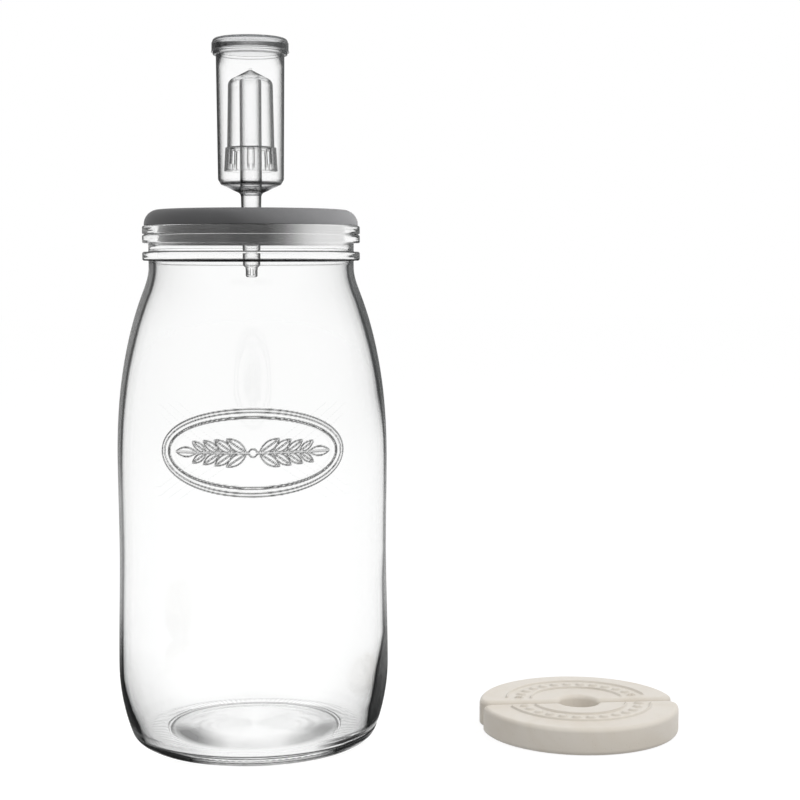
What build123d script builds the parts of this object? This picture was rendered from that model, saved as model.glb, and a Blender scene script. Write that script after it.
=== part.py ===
from build123d import *
from math import atan, cos
import os

# A glass fermentation jar with a soft push-in lid, a three-piece airlock and two half-disc weights.
# Millimetres, +Z up. The origin is the centre of the ring that the jar stands on, the jar's axis is Z
# and its front faces -Y. The weights lie flat beside the jar, on the same surface, towards +X.

# Fits and the overrun of every cut
push_clearance = 0.08
rest_gap = 0.3
overrun = 3.0

# Jar
jar_height = 263.0
jar_radius = 69.0
jar_base_radius = 60.5
jar_foot_round = 9.2
jar_heel_height = 40.0
jar_waist_radius = 68.1
jar_waist_height = 98.0
jar_shoulder_radius = 68.5
jar_shoulder_height = 146.0
jar_neck_radius = 51.8
jar_neck_length = 21.0
shoulder_shares = ((0.10, 0.34), (0.36, 0.61), (0.78, 0.855))
glass_wall = 3.4
floor_thickness = 5.5
floor_radius = 57.5
floor_round = 8.0
pushup_radius = 46.0
pushup_flat_radius = 40.0
pushup_depth = 2.4
mouth_radius = 48.2
mouth_round = 1.2
bead_radius = 54.9
bead_height = 4.5
bead_round = 1.0
recess_height = 4.1

# Lid
lid_radius = 54.0
lid_thickness = 8.0
lid_edge_share = 0.94
lid_web = 4.0
plug_depth = 8.7
plug_side_gap = 1.6
plug_wall = 5.0
plug_rib_height = 1.8
plug_rib_pitch = 4.4
plug_rib_count = 2
boss_radius = 9.5
boss_lift = 1.5

# Airlock body: chamber, riser, stem and slotted nozzle in one moulding
plastic_wall = 1.2
chamber_mouth_radius = 17.25
chamber_foot_radius = 16.6
chamber_height = 68.4
chamber_chamfer_height = 2.7
funnel_radius = 15.0
funnel_height = 4.4
funnel_round = 2.4
collar_radius = 17.9
flange_radius = 18.7
flange_thickness = 1.4
flange_drop = 5.0
riser_radius = 5.5
riser_bore_radius = 4.0
riser_height = 57.9
stem_rise = 8.1
stem_top_radius = 5.2
stem_end_radius = 4.35
stem_end_wall = 1.25
nozzle_drop = 26.0
nozzle_length = 5.4
nozzle_taper = 1.8
nozzle_radius = 3.1
nozzle_bore_radius = 1.9
nozzle_end_round = 1.8
nozzle_slot_count = 4
nozzle_slot_width = 1.4
nozzle_slot_height = 2.8

# Float: an inverted bell with a slotted skirt
float_wall = 1.0
float_length = 51.0
float_shoulder_radius = 11.2
float_shoulder_round = 4.0
float_cone_height = 5.9
float_ledge_radius = 11.9
float_nub_radius = 0.7
float_nub_height = 0.5
skirt_height = 11.8
skirt_top_radius = 12.8
skirt_foot_radius = 13.5
skirt_ring_height = 3.3
skirt_slot_height = 8.0
skirt_slot_width = 3.0
skirt_slot_count = 8

# Cap
cap_radius = 19.0
cap_band_radius = 19.3
cap_lip_radius = 19.6
cap_band_height = 4.6
cap_lip_height = 0.8
cap_height = 7.0
cap_top_thickness = 1.5
cap_edge_round = 2.2
vent_count = 6
vent_radius = 0.6
vent_ring_radius = 11.5

# Weights
weight_radius = 51.7
weight_thickness = 14.0
weight_gap = 4.8
weight_corner_round = 6.0
weight_edge_round = 2.4
notch_radius = 9.6
notch_depth = 8.8
notch_corner_round = 3.0
weights_distance = 170.0

# Heights that follow
neck_height = jar_height - jar_neck_length
lid_top = jar_height + lid_thickness
plug_foot = jar_height - plug_depth
stem_top = lid_top + stem_rise
nozzle_tip = jar_height - nozzle_drop
nozzle_top = nozzle_tip + nozzle_length
stem_end = nozzle_top + nozzle_taper
riser_top = stem_top + riser_height
funnel_top = stem_top + funnel_height
chamber_foot = funnel_top + chamber_chamfer_height
chamber_top = chamber_foot + chamber_height
flange_top = chamber_top - flange_drop
cap_top = flange_top + cap_height


def shoulder_points(shoulder, neck):
    """Points of the shoulder's curve, from its widest radius up to the neck's radius."""
    rise = neck_height - jar_shoulder_height
    points = [(shoulder, jar_shoulder_height)]
    for narrowing_share, rise_share in shoulder_shares:
        points.append((shoulder + (neck - shoulder) * narrowing_share,
                       jar_shoulder_height + rise * rise_share))
    points.append((neck, neck_height))
    return points


def side_curve(inset, neck):
    """The jar's side from heel to neck, drawn this far inside the outer glass."""
    upright = (0, 1)
    Spline((jar_radius - inset, jar_heel_height), (jar_waist_radius - inset, jar_waist_height),
           (jar_shoulder_radius - inset, jar_shoulder_height), tangents=(upright, upright))
    Spline(*shoulder_points(jar_shoulder_radius - inset, neck), tangents=(upright, upright))


def profile(*points):
    """A closed outline of radius and height points, as a face beside Z."""
    with BuildSketch(Plane.XZ) as face:
        with BuildLine():
            Polyline(*points, close=True)
        make_face()
    return face.sketch


def band(inner, outer, low, high):
    """Upright section of a ring or disc between two radii and two heights."""
    return profile((inner, low), (outer, low), (outer, high), (inner, high))


def bead(low):
    """Section of a rounded bead round the jar's neck, from this height up."""
    with BuildSketch(Plane.XZ) as section:
        with BuildLine():
            Polyline((mouth_radius, low), (bead_radius, low), (bead_radius, low + bead_height),
                     (mouth_radius, low + bead_height), close=True)
        make_face()
        fillet(vertices().group_by(Axis.X)[-1], bead_round)
    return section.sketch


# Glass jar, with two beads at its rim, a recess and a third bead
rim_bead = jar_height - bead_height
second_bead = rim_bead - bead_height
third_bead = second_bead - recess_height - bead_height
inner_radius = jar_radius - glass_wall
with BuildPart() as jar:
    with BuildSketch(Plane.XZ):
        with BuildLine():
            Line((0, 0), (jar_base_radius, 0))
            TangentArc((jar_radius, jar_heel_height), (jar_base_radius, 0), tangent=(0, -1))
            side_curve(0, jar_neck_radius)
            Polyline((jar_neck_radius, neck_height), (jar_neck_radius, rim_bead), (0, rim_bead), (0, 0))
        make_face()
        fillet(vertices().group_by(Axis.Y)[0].sort_by(Axis.X)[-1], jar_foot_round)
    revolve(axis=Axis.Z)
    for low in (rim_bead, second_bead, third_bead):
        revolve(bead(low), axis=Axis.Z)
    with BuildSketch(Plane.XZ):
        with BuildLine():
            Line((0, floor_thickness), (floor_radius, floor_thickness))
            TangentArc((inner_radius, jar_heel_height), (floor_radius, floor_thickness), tangent=(0, -1))
            side_curve(glass_wall, mouth_radius)
            Polyline((mouth_radius, neck_height), (mouth_radius, jar_height + overrun),
                     (0, jar_height + overrun), (0, floor_thickness))
        make_face()
        fillet(vertices().group_by(Axis.Y)[0].sort_by(Axis.X)[-1], floor_round)
    revolve(axis=Axis.Z, mode=Mode.SUBTRACT)
    with BuildSketch(Plane.XZ):
        with BuildLine():
            TangentArc((pushup_flat_radius, pushup_depth), (pushup_radius, 0), tangent=(1, 0))
            Polyline((pushup_radius, 0), (pushup_radius, -overrun), (0, -overrun), (0, pushup_depth),
                     (pushup_flat_radius, pushup_depth))
        make_face()
    revolve(axis=Axis.Z, mode=Mode.SUBTRACT)
    rim_circles = edges().filter_by(GeomType.CIRCLE).group_by(Axis.Z)[-1]
    fillet(rim_circles.sort_by(SortBy.RADIUS)[0], mouth_round)


# Soft lid: a brim that rests on the rim, a ribbed plug that fills the mouth, and a boss for the stem
plug_radius = mouth_radius - plug_side_gap
plug_rib_radius = mouth_radius - push_clearance
hollow_radius = plug_radius - plug_wall
hollow_top = lid_top - lid_web
hole_low = plug_foot - overrun
hole_high = lid_top + overrun


def stem_radius_at(height):
    """Outer radius of the airlock's tapered stem."""
    taper = (stem_top_radius - stem_end_radius) / (stem_top - stem_end)
    return stem_end_radius + taper * (height - stem_end)


with BuildPart() as lid:
    with BuildSketch(Plane.XZ):
        with BuildLine():
            Polyline((0, jar_height), (lid_radius, jar_height), (lid_radius, lid_top), (0, lid_top),
                     close=True)
        make_face()
        fillet(vertices().group_by(Axis.Y)[-1].sort_by(Axis.X)[-1], lid_thickness * lid_edge_share)
    revolve(axis=Axis.Z)
    revolve(band(0, plug_radius, plug_foot, jar_height), axis=Axis.Z)
    for rib in range(plug_rib_count):
        rib_low = plug_foot + rib * plug_rib_pitch
        rib_high = rib_low + plug_rib_height
        rib_face = profile((hollow_radius, rib_low), (plug_radius, rib_low),
                           (plug_rib_radius, (rib_low + rib_high) / 2),
                           (plug_radius, rib_high), (hollow_radius, rib_high))
        revolve(rib_face, axis=Axis.Z)
    underside = profile((boss_radius, hollow_top), (hollow_radius, hollow_top), (hollow_radius, hole_low),
                        (0, hole_low), (0, plug_foot + boss_lift), (boss_radius, plug_foot + boss_lift))
    revolve(underside, axis=Axis.Z, mode=Mode.SUBTRACT)
    stem_hole = profile((0, hole_low), (stem_radius_at(hole_low) + push_clearance, hole_low),
                        (stem_radius_at(hole_high) + push_clearance, hole_high), (0, hole_high))
    revolve(stem_hole, axis=Axis.Z, mode=Mode.SUBTRACT)


# Airlock body: chamber, funnel floor, riser, stem and slotted nozzle
funnel_rate = funnel_height / (funnel_radius - stem_top_radius)
funnel_lift = plastic_wall / cos(atan(funnel_rate))
floor_low = stem_top + funnel_lift + (riser_radius - stem_top_radius) * funnel_rate
floor_edge = funnel_radius - plastic_wall / 2
floor_high = funnel_top + funnel_lift - (funnel_radius - floor_edge) * funnel_rate
bore_foot = nozzle_tip + plastic_wall
with BuildPart() as airlock_body:
    with BuildSketch(Plane.XZ):
        with BuildLine():
            Polyline((0, nozzle_tip), (nozzle_radius, nozzle_tip), (nozzle_radius, nozzle_top),
                     (stem_end_radius, stem_end), (stem_top_radius, stem_top),
                     (funnel_radius, funnel_top), (chamber_foot_radius, chamber_foot),
                     (chamber_mouth_radius, chamber_top), (0, chamber_top), close=True)
        make_face()
        fillet(vertices().sort_by_distance((nozzle_radius, nozzle_tip))[0], nozzle_end_round)
        fillet(vertices().sort_by_distance((stem_top_radius, stem_top))[0], funnel_round)
    revolve(axis=Axis.Z)
    revolve(band(0, collar_radius, flange_top, chamber_top), axis=Axis.Z)
    revolve(band(0, flange_radius, flange_top - flange_thickness, flange_top), axis=Axis.Z)
    chamber_space = profile((riser_radius, floor_low), (floor_edge, floor_high),
                            (chamber_foot_radius - plastic_wall, chamber_foot),
                            (chamber_mouth_radius - plastic_wall, chamber_top),
                            (chamber_mouth_radius - plastic_wall, chamber_top + overrun),
                            (0, chamber_top + overrun), (0, riser_top), (riser_radius, riser_top))
    revolve(chamber_space, axis=Axis.Z, mode=Mode.SUBTRACT)
    gas_bore = profile((0, bore_foot), (nozzle_bore_radius, bore_foot), (nozzle_bore_radius, nozzle_top),
                       (stem_end_radius - stem_end_wall, stem_end), (riser_bore_radius, stem_top),
                       (riser_bore_radius, riser_top + overrun), (0, riser_top + overrun))
    revolve(gas_bore, axis=Axis.Z, mode=Mode.SUBTRACT)
    with BuildSketch(Plane.XY.offset(bore_foot)):
        with PolarLocations(nozzle_radius, nozzle_slot_count):
            Rectangle(nozzle_radius, nozzle_slot_width)
    extrude(amount=nozzle_slot_height, mode=Mode.SUBTRACT)


# Float, whose cone rests over the riser's open top
cone_rate = float_cone_height / float_shoulder_radius
cone_lift = float_wall / cos(atan(cone_rate))
float_apex = riser_top + rest_gap + cone_lift + riser_radius * cone_rate
float_shoulder = float_apex - float_cone_height
float_foot = float_apex - float_length
float_ledge = float_foot + skirt_height
inner_shoulder_radius = float_shoulder_radius - float_wall
inner_shoulder = float_apex - cone_lift - inner_shoulder_radius * cone_rate
with BuildPart() as airlock_float:
    with BuildSketch(Plane.XZ):
        with BuildLine():
            Polyline((0, float_foot), (skirt_foot_radius, float_foot), (skirt_top_radius, float_ledge),
                     (float_ledge_radius, float_ledge), (float_shoulder_radius, float_shoulder),
                     (0, float_apex), close=True)
        make_face()
        shoulder_corner = vertices().sort_by_distance((float_shoulder_radius, float_shoulder))[0]
        fillet(shoulder_corner, float_shoulder_round)
    revolve(axis=Axis.Z)
    revolve(band(0, float_nub_radius, float_apex - float_wall, float_apex + float_nub_height), axis=Axis.Z)
    with BuildSketch(Plane.XZ):
        with BuildLine():
            Polyline((0, float_foot - overrun), (skirt_foot_radius - float_wall, float_foot - overrun),
                     (skirt_foot_radius - float_wall, float_foot),
                     (skirt_top_radius - float_wall, float_ledge - float_wall),
                     (float_ledge_radius - float_wall, float_ledge - float_wall),
                     (inner_shoulder_radius, inner_shoulder), (0, float_apex - cone_lift), close=True)
        make_face()
        shoulder_corner = vertices().sort_by_distance((inner_shoulder_radius, inner_shoulder))[0]
        fillet(shoulder_corner, float_shoulder_round - float_wall)
    revolve(axis=Axis.Z, mode=Mode.SUBTRACT)
    with BuildSketch(Plane.XY.offset(float_foot + skirt_ring_height)):
        with PolarLocations(skirt_foot_radius, skirt_slot_count, start_angle=90):
            Rectangle(skirt_foot_radius / 2, skirt_slot_width)
    extrude(amount=skirt_slot_height, mode=Mode.SUBTRACT)


# Cap, pushed over the chamber's collar down to its flange
cap_bore_radius = collar_radius + push_clearance
with BuildPart() as airlock_cap:
    with BuildSketch(Plane.XZ):
        with BuildLine():
            Polyline((0, flange_top), (cap_lip_radius, flange_top),
                     (cap_band_radius, flange_top + cap_lip_height),
                     (cap_band_radius, flange_top + cap_band_height),
                     (cap_radius, flange_top + cap_band_height), (cap_radius, cap_top), (0, cap_top),
                     close=True)
        make_face()
        fillet(vertices().sort_by_distance((cap_radius, cap_top))[0], cap_edge_round)
    revolve(axis=Axis.Z)
    cap_space = band(0, cap_bore_radius, flange_top - overrun, cap_top - cap_top_thickness)
    revolve(cap_space, axis=Axis.Z, mode=Mode.SUBTRACT)
    with BuildSketch(Plane.XY.offset(cap_top)):
        with PolarLocations(vent_ring_radius, vent_count):
            Circle(vent_radius)
    extrude(amount=-cap_top_thickness, mode=Mode.SUBTRACT)


def weight(side):
    """A ceramic half disc with a finger notch in its straight edge, on one side of the pair's gap."""
    edge = side * weight_gap / 2
    notch_centre = edge + side * (notch_depth - notch_radius)
    cut_side = Align.MAX if side > 0 else Align.MIN
    with BuildPart() as stone:
        with BuildSketch(Plane.XY):
            with Locations((weights_distance, edge)):
                Circle(weight_radius)
                Rectangle(2 * weight_radius, weight_radius, align=(Align.CENTER, cut_side),
                          mode=Mode.SUBTRACT)
            fillet(vertices(), weight_corner_round)
            with Locations((weights_distance, notch_centre)):
                Circle(notch_radius, mode=Mode.SUBTRACT)
            fillet(vertices().sort_by_distance((weights_distance, edge))[:2], notch_corner_round)
        extrude(amount=weight_thickness)
        outlines = edges().group_by(Axis.Z)
        fillet(outlines[0] + outlines[-1], weight_edge_round)
    return stone


weight_back = weight(1)
weight_front = weight(-1)

os.makedirs("parts", exist_ok=True)
pieces = {"jar": jar, "lid": lid, "airlock_body": airlock_body, "airlock_float": airlock_float,
          "airlock_cap": airlock_cap, "weight_back": weight_back, "weight_front": weight_front}
for name, piece in pieces.items():
    piece.part.label = name
    export_step(piece.part, f"parts/{name}.step")
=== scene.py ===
import math

import bmesh
import bpy
import numpy as np
from bpy.props import FloatProperty, FloatVectorProperty, IntProperty, PointerProperty
from bpy.types import Operator, Panel, PropertyGroup
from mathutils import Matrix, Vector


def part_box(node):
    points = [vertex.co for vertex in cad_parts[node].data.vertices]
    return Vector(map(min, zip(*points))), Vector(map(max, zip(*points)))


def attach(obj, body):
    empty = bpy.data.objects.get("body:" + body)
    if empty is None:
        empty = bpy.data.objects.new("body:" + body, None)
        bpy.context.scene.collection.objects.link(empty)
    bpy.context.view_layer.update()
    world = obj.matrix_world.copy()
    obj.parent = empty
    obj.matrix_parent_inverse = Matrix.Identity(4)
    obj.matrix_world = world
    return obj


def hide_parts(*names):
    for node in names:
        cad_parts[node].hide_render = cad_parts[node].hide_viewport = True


bl_info = {
    "name": "Fermentation Jar",
    "version": (1, 0, 0),
    "blender": (4, 5, 0),
    "location": "View3D > Sidebar > Ferment",
    "description": "Glass fermentation jar with a soft lid, a three-piece airlock and two ceramic weights",
    "category": "Add Mesh",
}

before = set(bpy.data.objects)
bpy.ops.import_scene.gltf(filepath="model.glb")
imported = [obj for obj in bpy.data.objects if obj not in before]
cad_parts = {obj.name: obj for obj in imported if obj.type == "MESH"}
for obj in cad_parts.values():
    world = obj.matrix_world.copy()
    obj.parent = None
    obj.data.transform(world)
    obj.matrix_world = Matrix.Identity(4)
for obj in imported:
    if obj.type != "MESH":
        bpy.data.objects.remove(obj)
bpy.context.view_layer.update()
JAR_LOW, JAR_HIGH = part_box("jar")
LID_LOW, LID_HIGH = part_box("lid")
BODY_LOW, BODY_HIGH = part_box("airlock_body")
FLOAT_LOW, FLOAT_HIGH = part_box("airlock_float")
CAP_LOW, CAP_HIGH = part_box("airlock_cap")

MM = 0.001
SHARP_ANGLE = math.radians(38)
PLASTIC_WALL = 1.2 * MM
FLOAT_WALL = 1.0 * MM
STEM_TOP_RADIUS = 5.2 * MM
STEM_END_RADIUS = 4.35 * MM
STEM_TOP = 279.1 * MM
STEM_END = 244.2 * MM
PUSH_CLEARANCE = 0.08 * MM
WEIGHT_MIDDLE = 30.8 * MM

# Heights on the jar and the space that its ornament takes, in millimetres.
HEEL_TOP, WAIST_HEIGHT, SHOULDER_HEIGHT, NECK_DROP = 40.0, 98.0, 146.0, 21.0
ORNAMENT_HEIGHT, ORNAMENT_REACH, ORNAMENT_RISE = 155.0, 49.0, 23.0


def length(name, default, description):
    """Property for a length in metres."""
    return FloatProperty(name=name, default=default, description=description, unit="LENGTH", precision=5)


def colour(name, default, description):
    """Property for a colour of three parts."""
    return FloatVectorProperty(name=name, default=default, description=description, subtype="COLOR",
                               size=3, min=0.0, max=1.0)


class JarSettings(PropertyGroup):
    height: length("Height", JAR_HIGH.z, "Height of the glass from the surface it stands on to its rim")
    radius: length("Heel radius", 0.0690, "Widest radius, a little above the base")
    waist_radius: length("Waist radius", 0.0681, "Radius at the middle of the side")
    shoulder_radius: length("Shoulder radius", 0.0685, "Radius where the shoulder begins")
    neck_radius: length("Neck radius", 0.0518, "Radius of the straight neck")
    bead_radius: length("Bead radius", 0.0549, "Radius of the rounded beads round the neck")
    mouth_radius: length("Mouth radius", 0.0482, "Inside radius of the mouth")
    wall: length("Wall", 0.0034, "Thickness of the glass at the side")
    relief: length("Relief", 0.0007, "How far the moulded ornament stands out of the front")
    sides: IntProperty(name="Coarse columns", default=84, min=24, max=200,
                       description="Columns round the glass outside the ornament")
    tint: colour("Tint", (0.940, 0.945, 0.943), "Colour that thick glass takes on")


class LidSettings(PropertyGroup):
    radius: length("Brim radius", 0.0540, "Radius of the brim that rests on the rim")
    edge_round: length("Edge round", 0.00752, "Rounding of the brim's upper edge")
    plug_radius: length("Plug radius", 0.0466, "Radius of the plug between its ribs")
    rib_radius: length("Rib radius", 0.04812, "Radius of the sealing ribs")
    tone: colour("Tone", (0.085, 0.085, 0.087), "Colour of the soft grey rubber")


class AirlockSettings(PropertyGroup):
    mouth_radius: length("Mouth radius", 0.01725, "Outside radius at the top of the chamber")
    foot_radius: length("Foot radius", 0.0166, "Outside radius at the foot of the chamber")
    riser_radius: length("Riser radius", 0.0055, "Outside radius of the tube inside the chamber")
    nozzle_radius: length("Nozzle radius", 0.0031, "Outside radius of the slotted nozzle")
    float_radius: length("Float radius", 0.0112, "Radius of the float at its shoulder")
    skirt_radius: length("Skirt radius", 0.0135, "Radius of the float's slotted skirt at its foot")
    cap_radius: length("Cap radius", 0.0190, "Radius of the cap's crown")
    tint: colour("Tint", (0.90, 0.91, 0.92), "Colour that thick plastic takes on")
    cap_tone: colour("Cap tone", (0.80, 0.81, 0.82), "Colour of the frosted cap")


class WeightSettings(PropertyGroup):
    radius: length("Radius", 0.0517, "Radius of the disc that the two halves make up")
    thickness: length("Thickness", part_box("weight_back")[1].z, "Thickness of the ceramic")
    gap: length("Gap", 0.0048, "Space between the two straight edges")
    distance: length("Distance", 0.1700, "How far beside the jar's axis the weights lie")
    notch_radius: length("Notch radius", 0.0096, "Radius of the finger notch")
    edge_round: length("Edge round", 0.0024, "Rounding of the upper and lower edges")
    relief: length("Relief", 0.0010, "How far the ornament stands out of the upper face")
    glaze: colour("Glaze", (0.80, 0.745, 0.665), "Colour of the cream glaze")


class StudioSettings(PropertyGroup):
    floor_size: length("Floor size", 12.0, "Side of the square floor")
    lens: FloatProperty(name="Lens", default=76.59, min=10.0, max=300.0, unit="CAMERA",
                        description="Focal length of the camera")
    key_power: FloatProperty(name="Key power", default=3.8, min=0.0, max=200.0, unit="POWER",
                             description="Power of the large soft lamp")
    room_light: FloatProperty(name="Room light", default=0.54, min=0.0, max=2.0,
                              description="Brightness of the even light from all round")


# Shapes


def unit(arrows):
    """Arrows divided by their own length."""
    return arrows / np.maximum(np.linalg.norm(arrows, axis=-1, keepdims=True), 1e-12)


def rounded_path(corners, steps=7):
    """Radius and height points of a path from corners (radius, height, round), in millimetres.

    A corner becomes an arc about the point that lies round / sin(half its angle) along its bisector,
    which touches both sides. Corners without a round stay one point.
    """
    corners = np.array([tuple(corner) + (0.0,) * (3 - len(corner)) for corner in corners], float) * MM
    place, radius = corners[:, :2], corners[:, 2]
    back, ahead = unit(np.roll(place, 1, axis=0) - place), unit(np.roll(place, -1, axis=0) - place)
    half = np.arccos(np.clip((back * ahead).sum(axis=1), -1, 1)) / 2
    reach = radius / np.maximum(np.tan(half), 1e-6)
    centre = place + unit(back + ahead) * (radius / np.maximum(np.sin(half), 1e-6))[:, None]
    first, last = place + back * reach[:, None], place + ahead * reach[:, None]
    sweep = np.maximum(np.pi - 2 * half, 1e-6)[:, None, None]
    share = np.linspace(0, 1, steps)[None, :, None]
    arc = (np.sin((1 - share) * sweep) * (first - centre)[:, None]
           + np.sin(share * sweep) * (last - centre)[:, None]) / np.sin(sweep)
    points = np.where((radius > 0)[:, None, None], centre[:, None] + arc, place[:, None]).reshape(-1, 2)
    moved = np.linalg.norm(np.diff(points, axis=0), axis=1) > 1e-7
    return points[np.concatenate(([True], moved))]


def smooth_curve(points, count):
    """Cubic curve through points that starts and ends upright, in millimetres.

    Its slopes solve the usual three-term equations for a curve whose bend changes without a jump, with
    the straight distance between points as its parameter. Each span is a Hermite cubic.
    """
    points = np.array(points, float) * MM
    span = np.linalg.norm(np.diff(points, axis=0), axis=1)
    size = len(points)
    matrix, right = np.eye(size), np.zeros((size, 2))
    right[0] = right[-1] = (0, 1)
    inner = np.arange(1, size - 1)
    matrix[inner, inner - 1], matrix[inner, inner + 1] = span[1:], span[:-1]
    matrix[inner, inner] = 2 * (span[1:] + span[:-1])
    rise = np.diff(points, axis=0) / span[:, None]
    right[inner] = 3 * (span[1:, None] * rise[:-1] + span[:-1, None] * rise[1:])
    slope = np.linalg.solve(matrix, right)
    share = np.linspace(0, 1, count)[None, :, None]
    wide = span[:, None, None]
    curve = ((1 + 2 * share) * (1 - share) ** 2 * points[:-1, None]
             + share * (1 - share) ** 2 * wide * slope[:-1, None]
             + share ** 2 * (3 - 2 * share) * points[1:, None]
             + share ** 2 * (share - 1) * wide * slope[1:, None])
    return curve.reshape(-1, 2)


def turned(path, angles):
    """Points of a path turned round the upright axis: (radius cos angle, radius sin angle, height)."""
    radius, height = path[:, :1], path[:, 1:]
    return np.stack((radius * np.cos(angles), radius * np.sin(angles), height + 0 * angles), axis=-1)


def even_angles(count):
    """Angles that share out a full turn evenly."""
    return np.arange(count) * 2 * np.pi / count


def cells(rows, columns, start, ring):
    """Numbers of a grid's points and the four corners of each of its cells. A ring's columns meet."""
    number = start + np.arange(rows * columns).reshape(rows, columns)
    if ring:
        number = np.concatenate((number, number[:, :1]), axis=1)
    quads = (number[:-1, :-1], number[:-1, 1:], number[1:, 1:], number[1:, :-1])
    return number, np.stack(quads, axis=-1)


def mesh_piece(name, points, faces):
    """Mesh object from points and four-cornered faces, closed where points meet, faces outwards."""
    mesh = bpy.data.meshes.new(name)
    mesh.from_pydata(points.reshape(-1, 3), [], faces.reshape(-1, 4))
    shape = bmesh.new()
    shape.from_mesh(mesh)
    bmesh.ops.remove_doubles(shape, verts=shape.verts, dist=2e-7)
    bmesh.ops.recalc_face_normals(shape, faces=shape.faces)
    shape.to_mesh(mesh)
    shape.free()
    mesh.shade_smooth()
    mesh.set_sharp_from_angle(angle=SHARP_ANGLE)
    piece = bpy.data.objects.new(name, mesh)
    bpy.context.scene.collection.objects.link(piece)
    return piece


def shell(name, outer, inner, kept=None, ring=True, pole=True):
    """Closed piece between two sheets of points, each a grid of rows and columns.

    Each cell of either grid is a face. Rows and columns count alike on both sheets for as many rows as
    kept has, and a cell that kept leaves out is open on both, with walls across from sheet to sheet.
    The last rows are joined by a wall, and so are the first ones unless they shrink to a pole.
    """
    columns = outer.shape[1] if ring else outer.shape[1] - 1
    if kept is None:
        kept = np.ones((1, columns), bool)
    depth = len(kept)
    front_number, front = cells(*outer.shape[:2], 0, ring)
    back_number, back = cells(*inner.shape[:2], outer.shape[0] * outer.shape[1], ring)
    front_kept, back_kept = np.ones(front.shape[:2], bool), np.ones(back.shape[:2], bool)
    front_kept[:depth], back_kept[:depth] = kept, kept
    faces = [front[front_kept], back[back_kept][:, ::-1]]
    before = kept[:1] if pole else np.zeros_like(kept[:1])
    after = kept[-1:] if min(len(front), len(back)) > depth else np.zeros_like(kept[:1])
    padded = np.concatenate((before, kept, after))
    across = padded[1:] != padded[:-1]
    a, b = front_number[:depth + 1], back_number[:depth + 1]
    faces.append(np.stack((a[:, :-1], a[:, 1:], b[:, 1:], b[:, :-1]), axis=-1)[across])
    if ring:
        along = kept != np.roll(kept, 1, axis=1)
        a, b = a[:, :-1], b[:, :-1]
    else:
        sides = np.zeros((depth, 1), bool)
        along = np.concatenate((kept, sides), axis=1) != np.concatenate((sides, kept), axis=1)
    faces.append(np.stack((a[:-1], a[1:], b[1:], b[:-1]), axis=-1)[along])
    if min(len(front), len(back)) > depth:
        a, b = front_number[-1], back_number[-1]
        faces.append(np.stack((a[:-1], a[1:], b[1:], b[:-1]), axis=-1))
    points = np.concatenate((outer.reshape(-1, 3), inner.reshape(-1, 3)))
    return mesh_piece(name, points, np.concatenate(faces))


def finish_piece(piece, node, body, material):
    """A piece rides on its body, stands for its node and carries one material."""
    piece.data.materials.append(material)
    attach(piece, body)
    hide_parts(node)


# Ornament


def ramp(distance, width):
    """Smooth step from 0 to 1 as distance goes from minus half the width to plus half."""
    share = np.clip(distance / width + 0.5, 0, 1)
    return share * share * (3 - 2 * share)


def sprig(along, across, pairs, spacing, leaf_length, leaf_width, slope):
    """Height, 0 to 1, of a sprig that lies on its side and grows both ways from a round berry.

    A leaf's half width is its width times the sine of how far along it a point lies, to the power 0.8.
    It leans 34 degrees from the stem and has a groove for its midrib. The stem is a narrow line.
    """
    lean, stem_half, stem_taper, berry_radius, last_size = math.radians(34), 0.45, 0.3, 1.9, 0.78
    reach, up = np.abs(along), np.abs(across)
    stem_end = spacing * (pairs + 0.2)

    def leaf(share, off_middle, size):
        half = leaf_width * size * np.sin(np.pi * np.clip(share, 0, 1)) ** 0.8
        return ramp(half - off_middle - slope / 3, slope) * (1 - 0.55 * ramp(0.28 - off_middle, 0.5))

    stem = ramp(stem_half - up - stem_taper * np.clip(reach / stem_end, 0, 1), slope) * (reach < stem_end)
    right = reach - (spacing * (np.arange(pairs) + 0.45))[:, None, None]
    size = np.linspace(1.0, last_size, pairs)[:, None, None]
    leaves = leaf((right * math.cos(lean) + up * math.sin(lean)) / (leaf_length * size),
                  np.abs(up * math.cos(lean) - right * math.sin(lean)), size)
    tip = leaf((reach - stem_end) / leaf_length, up, 1.0)
    berry = ramp(berry_radius - np.hypot(along, across), slope)
    return np.maximum.reduce((stem, leaves.max(axis=0), tip, berry))


def oval_line(along, across, long_radius, short_radius, half_width, slope):
    """Height of a line along an oval. Distance is the oval's equation over the size of its gradient."""
    value = np.hypot(along / long_radius, across / short_radius)
    gradient = np.hypot(along / long_radius ** 2, across / short_radius ** 2) / np.maximum(value, 1e-6)
    return ramp(half_width - np.abs((value - 1) / np.maximum(gradient, 1e-6)), slope)


def jar_ornament(along, across):
    """Height, 0 to 1, of the jar's ornament: a double oval line round a sprig, in millimetres."""
    outer = oval_line(along, across, 46.0, 20.0, 0.75, 0.9)
    inner = oval_line(along, across, 42.6, 16.8, 0.35, 0.8)
    return np.maximum.reduce((outer, inner, sprig(along, across, 4, 6.4, 12.0, 2.5, 0.9)))


def weight_ornament(along, across):
    """Height, 0 to 1, of a weight's ornament: a row of round beads between two fine lines along the rim."""
    line_place, line_half, line_end, pitch, bead_radius = 6.4, 0.5, 43.0, 7.1, 2.1
    lines = ramp(line_half - np.abs(np.abs(across) - line_place), 0.9) * ramp(line_end - np.abs(along), 1.2)
    step = (along + pitch / 2) % pitch - pitch / 2
    beads = ramp(bead_radius - np.hypot(step, across), 1.8) * (np.abs(along) < 6 * pitch)
    return np.maximum(lines, beads)


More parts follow.
